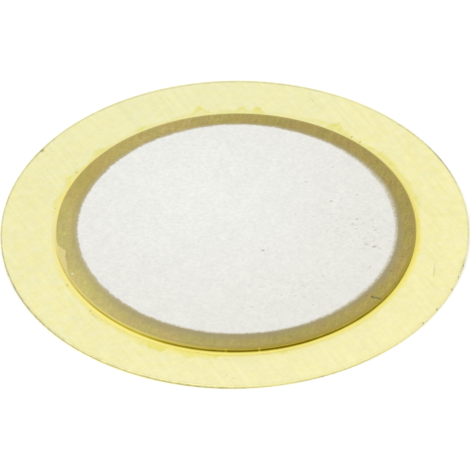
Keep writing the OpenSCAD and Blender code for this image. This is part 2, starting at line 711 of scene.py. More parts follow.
@dataclass(frozen=True)
class LappedCeramic(Finish):
    """Lead zirconate titanate, pressed, fired and lapped flat.

    To the eye it is a dull olive khaki, mottled by lapping and handling, greyer where the silver
    print stops, yellower at its outermost edge and pale where it is freshly broken. Painted light
    makes its face and its side paler, most on the lamp's side, a painted highlight runs along its
    upper edge, and one small pale spot is a painted glint.

    Attributes:
        silver: Where the upper electrode lies.
        body: The lapped face.
        lit: The face on the lamp's side, painted paler as painted light.
        warm: The face where it is a little browner.
        greenish: The tint of its greener patches.
        rosy: The tint of its rosier patches.
        wall: The side.
        lit_wall: The side where it is painted paler, as painted light.
        wetted: The outermost border of the face, stained by epoxy.
        rubbed: The outermost border where it is rubbed pale.
        halo: The border of the face next to the silver.
        dust: Silver dust on the ceramic.
        broken: A fresh break, and also the painted highlight along the upper edge.
        crack: A crack or a speck of dirt.
        glint: One small pale spot, a painted glint.
        pale_turn: The side of the disc that is painted palest, as painted light, in degrees.
        lapping_turn: The direction of the lapping lines, in degrees.
    """

    name: ClassVar[str] = "lapped_piezo_ceramic"
    slot: ClassVar[str] = "piezo_ceramic"

    silver: Layer
    body: str = "#A5934A"
    lit: str = "#C4B66D"
    warm: str = "#A38B28"
    greenish: str = "#F9FFF1"
    rosy: str = "#FFF9FF"
    wall: str = "#A59041"
    lit_wall: str = "#D8C87C"
    wetted: str = "#9C8810"
    rubbed: str = "#C6B870"
    halo: str = "#968B67"
    dust: str = "#D2CBB4"
    broken: str = "#D7C87F"
    crack: str = "#5A4F22"
    glint: str = "#E8E2C4"
    pale_turn: float = 190.0
    lapping_turn: float = 78.0

    # How strongly silver has bled out round its print, and how far, in millimetres.
    bleed: ClassVar[Bells] = bells((282, 50, 0.5), (0, 25, 0.2), (338, 14, 0.2))
    bleed_reach: ClassVar[Bells] = bells((245, 45, 0.5), (338, 14, 0.25))
    # How much silver dust lies just outside the print.
    dusting: ClassVar[Bells] = bells(
        (105, 26, 0.4), (20, 7, 0.55), (35, 14, 0.2), (318, 20, 0.2), (200, 26, 0.2),
    )
    # How much epoxy has stained the outermost border, and where it is rubbed pale.
    stains: ClassVar[Bells] = bells((300, 42, 0.55), (20, 35, 0.3), (346, 8, 0.8))
    rubs: ClassVar[Bells] = bells((212, 20, 0.9), (115, 45, 0.7))
    # Where the face is paler or darker, as shares of its brightness, and where it is browner.
    tones: ClassVar[Bells] = bells(
        (274, 14, -0.09), (225, 8, -0.03), (209, 7, 0.12), (183, 9, -0.03), (190, 10, -0.03),
        (339, 8, 0.09), (324, 11, 0.04), (311, 5, 0.03), (20, 30, -0.04), (65, 18, -0.03),
    )
    browns: ClassVar[Bells] = bells((150, 13, 0.5), (30, 18, 0.08))
    # Where a painted highlight makes the upper edge pale, by how much, and where epoxy has wetted the
    # side.
    edge_highlight: ClassVar[Bells] = bells(
        (38, 20, 0.45), (125, 42, 0.45), (210, 8, 0.85), (358, 12, 0.18), (68, 16, 0.2),
    )
    wet_side: ClassVar[Bells] = bells((343, 16, 0.9))
    # Where the side is painted paler as painted light, most on the lamp's side, by how much.
    lit_side: ClassVar[Bells] = bells((232, 22, 1), (209, 7, 0.4), (322, 20, 0.4))
    # Where the mottling is fainter, by how much, and where the lapping's tooth is coarser.
    calm: ClassVar[Bells] = bells((178, 32, -0.45), (237, 26, -0.35))
    toothed: ClassVar[Bells] = bells((12, 45, 0.65), (236, 30, -0.4))
    # Places are taken from the disc's own axis.
    cracks: ClassVar[Marks] = spokes(
        (321.4, 9.87, 0.38, 0.15, 0.9), (321.8, 10.06, 0.3, 0.1, 0.7), (322.1, 10.24, 0.5, 0.12, 0.85),
        (320.9, 9.5, 0.2, 0.08, 0.45), (331, 10.3, 0.2, 0.06, 0.6), (336, 9.66, 0.16, 0.16, 0.5),
        (304, 9.9, 0.3, 0.06, 0.3), (12, 9.7, 0.22, 0.08, 0.2), (48, 9.95, 0.2, 0.1, 0.2),
    )
    # One small pale spot, a painted glint.
    specks: ClassVar[Marks] = spokes((201.9, 10.12, 0.17, 0.15, 0.95))

    def surface(self, skin: Skin) -> Node:
        """Adds the face's tone, its borders, its cracks and its breaks.

        Args:
            skin: The material's tree.

        Returns:
            The surface shader.
        """
        add, rim_mm = skin.add, self.layer.rim_mm
        # Lapping grit leaves a tooth of about 0.1 mm, crossed by lines 0.15 mm apart.
        tooth = add("TexNoise", skin.place, scale=7.0, detail=4.0, roughness=0.6)
        grit = add("Mix FLOAT", 0.38, tooth, skin.drawn(self.lapping_turn, 0.9, 0.15))
        browned = skin.coated(self.mottled(skin, grit), (skin.raised(self.browns, 0.0), self.warm))
        toned = add("VectorMath SCALE", browned, skin.raised(self.tones, 1.0))
        # Painted highlight: the upper edge is painted pale, most on the lamp's side.
        worn = skin.raised(self.edge_highlight, 0.0)
        edge = add("MapRange SMOOTHSTEP", skin.reach, rim_mm - 0.06, rim_mm - 0.02, 0.0, worn)
        # Painted light: the side is painted paler in places, most on the lamp's side.
        wall = skin.coated(
            self.wall,
            (skin.raised(self.lit_side, 0.0), self.lit_wall),
            (skin.raised(self.wet_side, 0.0), self.wetted),
        )
        chipped = skin.coated(
            self.bordered(skin, toned),
            (skin.marked(skin.offset, self.cracks), self.crack),
            # The painted glint.
            (skin.marked(skin.offset, self.specks), self.glint),
            # The painted highlight along the upper edge.
            (edge, self.broken),
            (add("MapRange", skin.reach, rim_mm - 0.012, rim_mm - 0.004), wall),
            (add("Attribute", attribute_name="broken").outputs["Fac"], self.broken),
        )
        return skin.finished(chipped, grit, (0.4, 0.5), 0.002, ior=1.5)

    def mottled(self, skin: Skin, grit: Node) -> Node:
        """Adds the lapped face: painted paler on one side as painted light, mottled, with a fine tooth.

        Args:
            skin: The material's tree.
            grit: The lapping's tooth, from 0 to 1.

        Returns:
            The face's colour.
        """
        add, place = skin.add, skin.place
        # Painted light: it is painted paler towards -X, the lamp's side, in patches about 3 mm wide.
        patches = add("TexNoise", place, scale=0.35, detail=3.0)
        drift = add("Math MULTIPLY_ADD", patches, 0.8, skin.tilted(self.pale_turn, self.layer.rim_mm))
        lit_share = add("MapRange", drift, -0.05, 1.4)
        # The mottling's blots are about 0.3 mm wide, and browner where they are strong.
        blots = add("TexNoise", place, scale=3.0, detail=5.0, roughness=0.7)
        browned = add("MapRange", blots, 0.38, 0.75, 0.0, skin.raised(self.calm, 0.8))
        toned = skin.coated(self.body, (lit_share, self.lit), (browned, self.warm))
        # Its hue drifts between a greener and a rosier one, in patches about 1.2 mm wide.
        hue = add("TexNoise", place, scale=0.8, detail=3.0)
        tint = skin.coated(self.greenish, (add("MapRange", hue, 0.35, 0.65), self.rosy))
        tinted = add("VectorMath MULTIPLY", toned, tint)
        centred = add("Math SUBTRACT", grit, 0.5)
        tooth = add("Math MULTIPLY_ADD", centred, skin.raised(self.toothed, 1.05), 1.0)
        shade = add("TexNoise", place, scale=1.3, detail=2.0, roughness=0.6)
        uneven = add("Math MULTIPLY_ADD", shade, 0.24, 0.88)
        return add("VectorMath SCALE", tinted, add("Math MULTIPLY", tooth, uneven))

    def bordered(self, skin: Skin, face: Node) -> Node:
        """Adds the yellower outermost border and the grey one where silver has bled.

        Args:
            skin: The material's tree.
            face: The face's colour.

        Returns:
            The face with its borders.
        """
        add, rim_mm, print_mm = skin.add, self.layer.rim_mm, self.silver.rim_mm
        border = skin.coated(self.wetted, (skin.raised(self.rubs, 0.0), self.rubbed))
        stained = skin.raised(self.stains, 0.3)
        wet = add("MapRange SMOOTHSTEP", skin.reach, rim_mm - 0.22, rim_mm - 0.04, 0.0, stained)
        about = skin.about(self.silver.axis_mm)
        limit = about.raised(self.bleed_reach, print_mm + 0.4)
        strength = about.raised(self.bleed, 0.4)
        bled = add("MapRange SMOOTHSTEP", about.reach, limit, print_mm - 0.05, 0.0, strength)
        thick = about.raised(self.dusting, 0.06)
        dusted = add("MapRange SMOOTHSTEP", about.reach, print_mm + 0.24, print_mm, 0.0, thick)
        return skin.coated(face, (wet, border), (bled, self.halo), (dusted, self.dust))


@dataclass(frozen=True)
class FiredSilver(Finish):
    """Silver paste, screen printed and fired on.

    To the eye it is a matte grey white with a fine sandy grain, with pinholes and dark specks of
    glass where the paste was thin, and a cream fringe where the print thins out at its edge.
    Painted light makes it brightest round one spot and darker away from it.

    Attributes:
        bright: The print at the middle of the painted light.
        thin: The print away from the painted light, painted darker as painted shade.
        fringe: The very edge, where the ceramic shows through.
        pinhole: The bottom of a pinhole.
        light_pool_mm: The middle of the painted light.
        lapping_turn: The direction of the lapping lines under it, in degrees.
    """

    name: ClassVar[str] = "fired_silver_paste"
    slot: ClassVar[str] = "fired_silver"

    bright: str = "#EEEEEA"
    thin: str = "#E7E6E0"
    fringe: str = "#C2B898"
    pinhole: str = "#8F8467"
    light_pool_mm: Point = (-2.2, 3.0)
    lapping_turn: float = 78.0

    # Pinholes, specks of glass and scratches.
    marks: ClassVar[Marks] = ovals(
        (8, -2.02, 0.34, 0.2, 20, 0.45), (8.3, -2.15, 0.3, 0.1, -20, 0.26),
        (7.55, -1.8, 0.3, 0.12, 0, 0.38), (7.4, 0, 0.3, 0.1, 0, 0.19),
        (8.1, -0.55, 0.24, 0.16, 60, 0.19), (1.6, -2.2, 0.26, 0.18, 20, 0.41),
        (7.05, 0.45, 0.22, 0.18, 40, 0.34), (6.8, 0, 0.26, 0.14, 0, 0.34),
        (5.6, 2.05, 0.22, 0.18, 0, 0.34), (6.2, 2.25, 0.22, 0.12, 30, 0.19),
        (6.15, 1.45, 0.16, 0.2, 0, 0.22), (4.55, 0.7, 0.16, 0.12, 0, 0.19),
        (4.2, 3.8, 0.24, 0.12, 0, 0.26), (7.1, 2.6, 0.26, 0.14, 0, 0.17),
        (5.6, 0.9, 0.26, 0.14, 0, 0.19), (5.75, 5.1, 0.2, 0.16, 0, 0.22),
        (3.5, 0.95, 0.14, 0.12, 0, 0.19), (7.7, -3.8, 0.26, 0.14, 60, 0.19),
        (5, -4.55, 0.12, 0.22, 20, 0.22), (3.8, -5.3, 0.26, 0.12, 0, 0.19),
        (0.9, -7.1, 0.3, 0.12, 0, 0.26), (4.4, -7, 0.14, 0.12, 0, 0.26),
        (2.6, -6.1, 0.2, 0.12, 0, 0.22), (3.4, -6.2, 0.2, 0.16, 0, 0.19),
        (3.9, -6.35, 0.22, 0.16, 0, 0.19), (-4.75, -2.7, 0.14, 0.1, 0, 0.22),
        (-7.2, 2.4, 0.14, 0.1, 0, 0.22),
    )
    # Where the paste was so thin that it fired full of pits.
    pitted: ClassVar[Marks] = ovals((7.2, -0.5, 5, 4.5, 0, 0.9), (3.2, -5.8, 8, 3.5, 10, 0.5))

    def surface(self, skin: Skin) -> Node:
        """Adds painted light that falls off away from one spot, a sandy grain, the fringe and the
        pinholes.

        Args:
            skin: The material's tree.

        Returns:
            The surface shader.
        """
        add, place = skin.add, skin.place
        # Painted light: the print is painted brightest round one spot and darker away from it.
        away = skin.about(self.light_pool_mm).reach
        unlit_share = add("MapRange", away, 0.0, 1.4 * self.layer.rim_mm)
        # The grain of the fired paste: clusters about 0.15 mm wide, in drifts of about 1 mm. The
        # ceramic's lapping lines show through it.
        sand = add("TexNoise", place, scale=4.8, detail=4.0, roughness=0.6)
        mixed = add("Mix FLOAT", 0.15, sand, skin.drawn(self.lapping_turn, 1.0, 0.16))
        grain = add("Math MULTIPLY_ADD", mixed, 0.32, 0.84)
        drifts = add("TexNoise", place, scale=1.0, detail=2.0)
        piled = add("Math MULTIPLY_ADD", drifts, 0.06, 0.97)
        both = add("Math MULTIPLY", grain, piled)
        sandy = add("VectorMath SCALE", skin.coated(self.bright, (unlit_share, self.thin)), both)

        # The fringe is a scatter of grains more than an even fade.
        worn = add("Attribute", attribute_name="thinness").outputs["Fac"]
        scatter = add("TexNoise", place, scale=7.0, detail=3.0)
        share = add("MapRange", scatter, 0.35, 0.65, 0.6, 1.4)
        thinness = add("Math MULTIPLY", worn, share, use_clamp=True)
        pits = add("TexNoise", place, scale=4.2, detail=2.0)
        pitting = add("MapRange", pits, 0.56, 0.72, 0.0, skin.marked(place, self.pitted))
        faint = add("Math MULTIPLY", pitting, 0.22)
        holes = add("Math MAXIMUM", faint, skin.marked(place, self.marks))
        holed = skin.coated(sandy, (thinness, self.fringe), (holes, self.pinhole))
        return skin.finished(holed, sand, (0.5, 0.65), 0.004, metallic=1.0)


@dataclass(frozen=True)
class CuredEpoxy(Finish):
    """Clear amber epoxy adhesive, squeezed out and cured.

    To the eye it is a pale lemon yellow where it is thin, over the brass, and a deep brown amber
    in the corner at the ceramic's foot, where it is thick and where painted shade darkens the
    corner further. Painted light brightens it where the fillet falls in shade.

    Attributes:
        fillet_mm: Width of the fillet.
        milky: The colour that lapping dust gives it.
    """

    name: ClassVar[str] = "cured_epoxy_adhesive"
    slot: ClassVar[str] = "cured_epoxy"

    fillet_mm: float
    milky: str = "#DDD2A8"

    # The colour by how much epoxy lies in the way, whose darkest colours are also painted shade in the
    # corner at the ceramic's foot.
    amber: ClassVar[dict[float, str]] = {
        0.0: "#EDE5B8",
        0.03: "#F3E994",
        0.07: "#F4E782",
        0.12: "#EFE275",
        0.3: "#D4C65C",
        0.5: "#B8A930",
        0.75: "#988614",
        1.0: "#6C5A00",
    }
    # How much lies in the way, together with the painted corner shade, by the share of the fillet's width
    # out from the ceramic's side.
    depths_and_shade: ClassVar[dict[float, float]] = {
        0.0: 0.35,
        0.1: 0.58,
        0.2: 0.96,
        0.36: 1.0,
        0.46: 0.72,
        0.57: 0.3,
        0.75: 0.1,
        1.0: 0.03,
    }
    # How much more lies over the fillet's whole width, round the ceramic.
    spread: ClassVar[Bells] = bells(
        (352, 28, 0.045), (190, 24, -0.02), (174, 5, -0.02), (150, 7, 0.02), (160, 5, 0.025),
        (75, 20, -0.02),
    )
    # How much brighter it is painted, as painted light where the fillet falls in shade, as a share.
    painted_light: ClassVar[Bells] = bells(
        (355, 26, 0.05), (337, 6, 0.03), (347, 7, 0.02), (285, 28, 0.065), (105, 40, -0.03),
    )
    # Where it is milky with lapping dust, by how much.
    clouding: ClassVar[Bells] = bells((181, 7, 0.45), (195, 8, 0.36), (210, 8, 0.14))
    # How full the fillet is, and so how strong its painted corner shade is, and how much narrower its deep
    # part is, round the ceramic.
    fullness_and_shade: ClassVar[Bells] = bells(
        (277.5, 27, 1), (341, 7, 0.25), (326, 16, 0.52), (254, 9, 0.17), (266, 7, -0.06),
        (190, 4, 0.07), (216, 14, 0.45), (196, 5, 0.2), (5, 25, 0.04), (312, 5, 0.07), (285, 6, 0.04),
        (266.3, 0.2, -0.3), (276.7, 0.26, -0.4),
    )
    narrowing: ClassVar[Bells] = bells(
        (357, 14, 5.6), (314, 11, 0.3), (264, 9, 0.12), (324, 5, 0.1), (300, 6, 0.12), (215, 16, 0.9),
    )

    def surface(self, skin: Skin) -> Node:
        """Adds a clear amber whose depth follows the fillet, with painted shade in its corner and painted
        light where it is shaded.

        Args:
            skin: The material's tree.

        Returns:
            The surface shader.
        """
        add, place, foot_mm = skin.add, skin.place, self.layer.rim_mm
        out = add("MapRange", skin.reach, foot_mm, foot_mm + self.fillet_mm)
        drawn_in = add("Math MULTIPLY", out, skin.raised(self.narrowing, 1.06))
        levels = {share: (level, level, level, 1.0) for share, level in self.depths_and_shade.items()}
        depth = add("ValToRGB", drawn_in, stops=levels)
        # Flow left it a little fuller in some stretches, each about 1 mm long.
        flow = add("TexNoise", place, scale=1.1, detail=3.0)
        fuller = add("Math MULTIPLY_ADD", flow, 0.5, 0.75)
        full = add("Math MULTIPLY", fuller, skin.raised(self.fullness_and_shade, 0.06))
        # Towards the toe it thins out to a ragged edge.
        lap = add("TexNoise", place, scale=3.2, detail=4.0, roughness=0.6)
        ragged = add("MapRange", lap, 0.35, 0.65, 0.2, 0.9)
        film = skin.raised(self.spread, 0.035)
        over_all = add("MapRange SMOOTHSTEP", out, 1.15, ragged, 0.0, film)
        # Painted shade: where the fillet is deepest, its darkest colour also stands for the shade in the
        # corner.
        depth_and_shade = add("Math MULTIPLY_ADD", full, depth, over_all)
        tones = {share: linear(code) for share, code in self.amber.items()}
        clear = add("ValToRGB", depth_and_shade, stops=tones)
        inwards = add("Math SUBTRACT", 1.0, out)
        cloud = add("Math MULTIPLY", skin.raised(self.clouding, 0.0), inwards)
        dusty = skin.coated(clear, (cloud, self.milky))
        # Painted light: brighter where the fillet falls in shade.
        tone = add("VectorMath SCALE", dusty, skin.raised(self.painted_light, 1.0))
        return skin.finished(tone, flow, (0.15, 0.3), 0.003, ior=1.55, specular_ior_level=0.06)


# ---------------------------------------------------------------- pieces


def arc(centre: Point, radius: float, start: float, end: float, steps: int) -> list[Point]:
    """Gives the ends of an arc's chords, from start to end, in degrees from straight outward."""
    turns = [math.radians(start + (end - start) * step / steps) for step in range(steps + 1)]
    return [(centre[0] + radius * math.cos(turn), centre[1] + radius * math.sin(turn)) for turn in turns]


class Turning(Tree):
    """A Geometry Nodes tree that turns a profile round an axis, with named inputs.

    Attributes:
        entry: The node that the tree's inputs come in by.
        values: What each input takes, by its socket's identifier.
        axis: The foot of the axis, as the tree reads it.
        grid: The points that are put in place, ring by ring.
        radius: Each point's distance from the axis.
        height: Its height.
        notes: What the piece's finish reads from each point, by attribute name.
    """

    # Points closer than this are one, and edges sharper than this are creases.
    MERGE: ClassVar[float] = 0.0002 * MM
    CREASE: ClassVar[float] = math.radians(32.0)

    def __init__(self, name: str, axis: Vector, segments: int) -> None:
        """Turns the points of the profile that the tree is given into those of a grid.

        Args:
            name: The tree's name.
            axis: The foot of the axis.
            segments: How many steps the turn is made of.
        """
        super().__init__(bpy.data.node_groups.new(name, "GeometryNodeTree"))
        for label, way in (("Profile", "INPUT"), ("Geometry", "OUTPUT")):
            self.own.interface.new_socket(label, in_out=way, socket_type="NodeSocketGeometry")
        self.entry = self.add("NodeGroupInput")
        self.values: dict[str, object] = {}
        self.notes: dict[str, Value] = {}
        outline = self.entry.outputs["Profile"]
        around = self.size("Segments", segments, "NodeSocketInt")
        self.axis = self.size("Axis", axis, "NodeSocketVector")
        rings = self.add("GeometryNodeAttributeDomainSize", outline).outputs["Point Count"]
        steps = self.add("Math ADD", around, 1.0)
        self.grid = self.add("GeometryNodeMeshGrid", vertices_x=rings, vertices_y=steps)

        # Point number n of the grid is on ring n / steps of the profile, at step n % steps.
        number = self.add("GeometryNodeInputIndex")
        ring = self.add("Math FLOOR", self.add("Math DIVIDE", number, steps))
        share = self.add("Math DIVIDE", self.add("Math MODULO", number, steps), around)
        self.turn = self.add("Math MULTIPLY", share, math.tau)
        here = self.add("GeometryNodeInputPosition")
        on_profile = self.add("GeometryNodeSampleIndex", outline, here, ring, data_type="FLOAT_VECTOR")
        parts = self.add("SeparateXYZ", on_profile).outputs
        self.radius: Value = parts["X"]
        self.height: Value = parts["Z"]

    def size(self, name: str, value: object, kind: str = "NodeSocketFloat") -> Socket:
        """Adds a named input and remembers the value that it takes.

        Args:
            name: The input's name.
            value: The value that the piece gives it.
            kind: The input's socket type.

        Returns:
            The socket that the tree reads it from.
        """
        socket = self.own.interface.new_socket(name, in_out="INPUT", socket_type=kind)
        self.values[socket.identifier] = value
        return self.entry.outputs[name]

    def ripple(self, radius: float, width: float, seed: float) -> Node:
        """Adds noise round a circle, the same at both ends of the turn.

        Args:
            radius: The circle's radius.
            width: The width of one ripple along the circle.
            seed: The height at which the noise is read, which gives another pattern.

        Returns:
            The noise, from about -1 to 1.
        """
        east, north = self.add("Math COSINE", self.turn), self.add("Math SINE", self.turn)
        circle = self.add("CombineXYZ", east, north, seed)
        noise = self.add("TexNoise", circle, scale=radius / width, detail=2.0, roughness=0.6)
        # Nearly all of the noise lies between 0.25 and 0.75.
        return self.add("Math MULTIPLY_ADD", noise, 4.0, -2.0)

    def close(self, finish: bpy.types.Material) -> None:
        """Puts the points in place, joins them up and gives the faces their material.

        Args:
            finish: The material.
        """
        add = self.add
        east = add("Math MULTIPLY", add("Math COSINE", self.turn), self.radius)
        north = add("Math MULTIPLY", add("Math SINE", self.turn), self.radius)
        placed = add("VectorMath ADD", add("CombineXYZ", east, north, self.height), self.axis)
        surface = add("GeometryNodeSetPosition", self.grid, position=placed)
        for name, value in self.notes.items():
            surface = add("GeometryNodeStoreNamedAttribute", surface, name=name, value=value)

        # The seam and the two poles close when points at the same place become one.
        closed = add("GeometryNodeMergeByDistance", surface, distance=self.MERGE)
        smooth = add("GeometryNodeSetShadeSmooth", closed, shade_smooth=True)
        bend = add("GeometryNodeInputMeshEdgeAngle").outputs["Unsigned Angle"]
        crease = add("Math GREATER_THAN", bend, self.CREASE)
        crisp = add("GeometryNodeSetShadeSmooth", smooth, crease, shade_smooth=False, domain="EDGE")
        real = add("GeometryNodeRealizeInstances", crisp)
        coat = self.size("Finish", finish, "NodeSocketMaterial")
        add("NodeGroupOutput", add("GeometryNodeSetMaterial", real, material=coat))


@dataclass
class TurnedPiece(ABC):
    """A round piece, turned from a profile and then spoilt where the real one is.

    Attributes:
        layer: Where the piece's CAD node lies.
    """

    node: ClassVar[str]
    segments: ClassVar[int] = 1440

    layer: Layer

    @abstractmethod
    def profile(self) -> list[Point]:
        """Gives the profile from the top of the axis, round the rim, to the axis's bottom."""

    @abstractmethod
    def spoil(self, work: Turning) -> None:
        """Changes the turned surface where the piece isn't round."""

    def build(self, finish: Finish) -> bpy.types.Object:
        """Makes the piece as a plain mesh in place of its CAD node.

        Args:
            finish: What the piece is finished with.

        Returns:
            The piece.
        """
        points = bpy.data.meshes.new(f"{self.node}_profile")
        points.from_pydata([(radius, 0.0, height) for radius, height in self.profile()], [], [])
        piece = bpy.data.objects.new(f"{self.node}_finished", points)
        bpy.context.scene.collection.objects.link(piece)
        axis = Vector((self.layer.x, self.layer.y, 0.0))
        work = Turning(f"turn_{self.node}", axis, self.segments)
        self.spoil(work)
        work.close(finish.build())
        modifier = piece.modifiers.new("turned", "NODES")
        modifier.node_group = work.own
        for identifier, value in work.values.items():
            modifier[identifier] = value
        graph = bpy.context.evaluated_depsgraph_get()
        mesh = bpy.data.meshes.new_from_object(piece.evaluated_get(graph), depsgraph=graph)
        piece.modifiers.clear()
        piece.data = mesh
        mesh.name = piece.name
        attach(piece, "root")
        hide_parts(self.node)
        return piece


@dataclass
class BrassPlate(TurnedPiece):
    """The blanked brass plate: rolled over on top, sheared on its edge, nicked and burred.

    Attributes:
        rollover: Radius that blanking rolled over on the upper edge.
        taper: How far the torn part of the edge leans in towards the underside.
        tear: How rough the torn part of the edge is.
        tear_width: How wide a tear is along the edge.
        nick: A dent in the rim, as the depth that it goes in.
        nick_reach: How far in from the rim the dent is felt.
        burrs: Points of metal and dirt left on the rim.
    """

    node: ClassVar[str] = "brass_plate"

    rollover: float = 0.04 * MM
    taper: float = 0.003 * MM
    tear: float = 0.003 * MM
    tear_width: float = 0.12 * MM
    nick: Bell = Bell(147.0, 0.5, 0.025 * MM)
    nick_reach: float = 0.25 * MM
    burrs: Bells = bells(
        (321.8, 0.2, 0.02), (327.9, 0.18, 0.02), (336.1, 0.2, 0.02), (340.9, 0.18, 0.02),
        (345.3, 0.22, 0.02), unit=MM,
    )

    def profile(self) -> list[Point]:
        """Gives a flat top, a rolled edge, an upright burnished band, a torn band and a flat foot.

        Returns:
            The points of the profile.
        """
        rim, top = self.layer.radius, self.layer.top
        face = [(rim * share, top) for share in (0.0, 0.3, 0.6, 0.8, 0.9, 0.95, 0.98, 0.99)]
        rolled = arc((rim - self.rollover, top - self.rollover), self.rollover, 90.0, 0.0, 8)
        torn = [(rim - self.taper * (1 - share), top * share) for share in (0.5, 0.4, 0.3, 0.2, 0.1)]
        foot = [(rim - self.taper, 0.008 * MM), (rim - 2 * self.taper, 0.0)]
        underside = [(rim * share, 0.0) for share in (0.99, 0.9, 0.6, 0.3, 0.0)]
        return face + rolled + torn + foot + underside

    def spoil(self, work: Turning) -> None:
        """Tears the lower band, dents the rim and raises the burrs.

        Args:
            work: The tree that turns the piece.
        """
        add, rim, top = work.add, self.layer.radius, self.layer.top
        start = work.size("Nick From", rim - self.nick_reach)
        outer = add("MapRange SMOOTHSTEP", work.radius, start, rim)
        depth = add("Math MULTIPLY", work.near(self.nick), work.size("Nick Depth", self.nick.height))
        pushed = add("Math SUBTRACT", work.radius, add("Math MULTIPLY", depth, outer))
        # Only the very edge is rough, and only well below the rolled part.
        edge = add("MapRange SMOOTHSTEP", work.radius, rim - 0.03 * MM, rim - 0.01 * MM)
        low = add("MapRange SMOOTHSTEP", work.height, 0.75 * top, 0.4 * top)
        tears = work.ripple(rim, self.tear_width, seed=3.0)
        rough = add("Math MULTIPLY", tears, work.size("Tear", self.tear))
        burred = add("Math ADD", work.raised(self.burrs, 0.0), rough)
        standing = add("Math MULTIPLY", add("Math MULTIPLY", edge, low), burred)
        work.radius = add("Math ADD", pushed, standing)


@dataclass
class CeramicDisc(TurnedPiece):
    """The ceramic: a plain disc with a broken upper edge and one long shallow chip.

    Attributes:
        edge: Width of the broken upper edge.
        chip: The bells that add up to the chip, as the distance that it reaches in from the rim.
        chip_end: The reach under which there is no chip.
        chip_rag: How far the chip's inner line wanders.
        chip_wave: How long a wave of that line is.
        chip_step: Depth of the chip at its inner line.
        chip_ramp: Half the width of the step down to that depth.
        chip_slope: How much it deepens for each metre outward.
    """

    node: ClassVar[str] = "ceramic_disc"

    edge: float = 0.02 * MM
    chip: Bells = bells((190, 1.6, 0.26), (194.3, 4, 0.295), unit=MM)
    chip_end: float = 0.04 * MM
    chip_rag: float = 0.006 * MM
    chip_wave: float = 0.5 * MM
    chip_step: float = 0.006 * MM
    chip_ramp: float = 0.01 * MM
    chip_slope: float = 0.12

    def profile(self) -> list[Point]:
        """Gives a top with fine rings near its rim, a broken edge, a side and a flat foot.

        Returns:
            The points of the profile.
        """
        rim, top, bottom = self.layer.radius, self.layer.top, self.layer.bottom
        face = [(rim * share, top) for share in (0.0, 0.3, 0.6, 0.8, 0.88, 0.92)]
        border = [(rim - (0.6 - 0.02 * step) * MM, top) for step in range(29)]
        broken = arc((rim - self.edge, top - self.edge), self.edge, 90.0, 0.0, 4)
        side = [(rim, bottom + (top - bottom) * share) for share in (0.8, 0.65, 0.5, 0.25, 0.0)]
        foot = [(rim * share, bottom) for share in (0.9, 0.5, 0.0)]
        return face + border + broken + side + foot

    def spoil(self, work: Turning) -> None:
        """Cuts the chip down and notes where the ceramic is broken.

        Args:
            work: The tree that turns the piece.
        """
        add, rim = work.add, self.layer.radius
        ragged = add("Math MULTIPLY", work.ripple(rim, self.chip_wave, seed=7.0), self.chip_rag)
        reach = add("Math ADD", work.raised(self.chip, 0.0), ragged)
        line = add("Math SUBTRACT", rim, add("Math SUBTRACT", reach, self.chip_end))
        start = add("Math SUBTRACT", line, self.chip_ramp)
        end = add("Math ADD", line, self.chip_ramp)
        inside = add("MapRange SMOOTHSTEP", work.radius, start, end)
        out = add("Math MAXIMUM", add("Math SUBTRACT", work.radius, line), 0.0)
        slope, step = work.size("Chip Slope", self.chip_slope), work.size("Chip Step", self.chip_step)
        cut = add("Math MULTIPLY", add("Math MULTIPLY_ADD", out, slope, step), inside)
        work.height = add("Math MINIMUM", work.height, add("Math SUBTRACT", self.layer.top, cut))
        work.notes["broken"] = inside


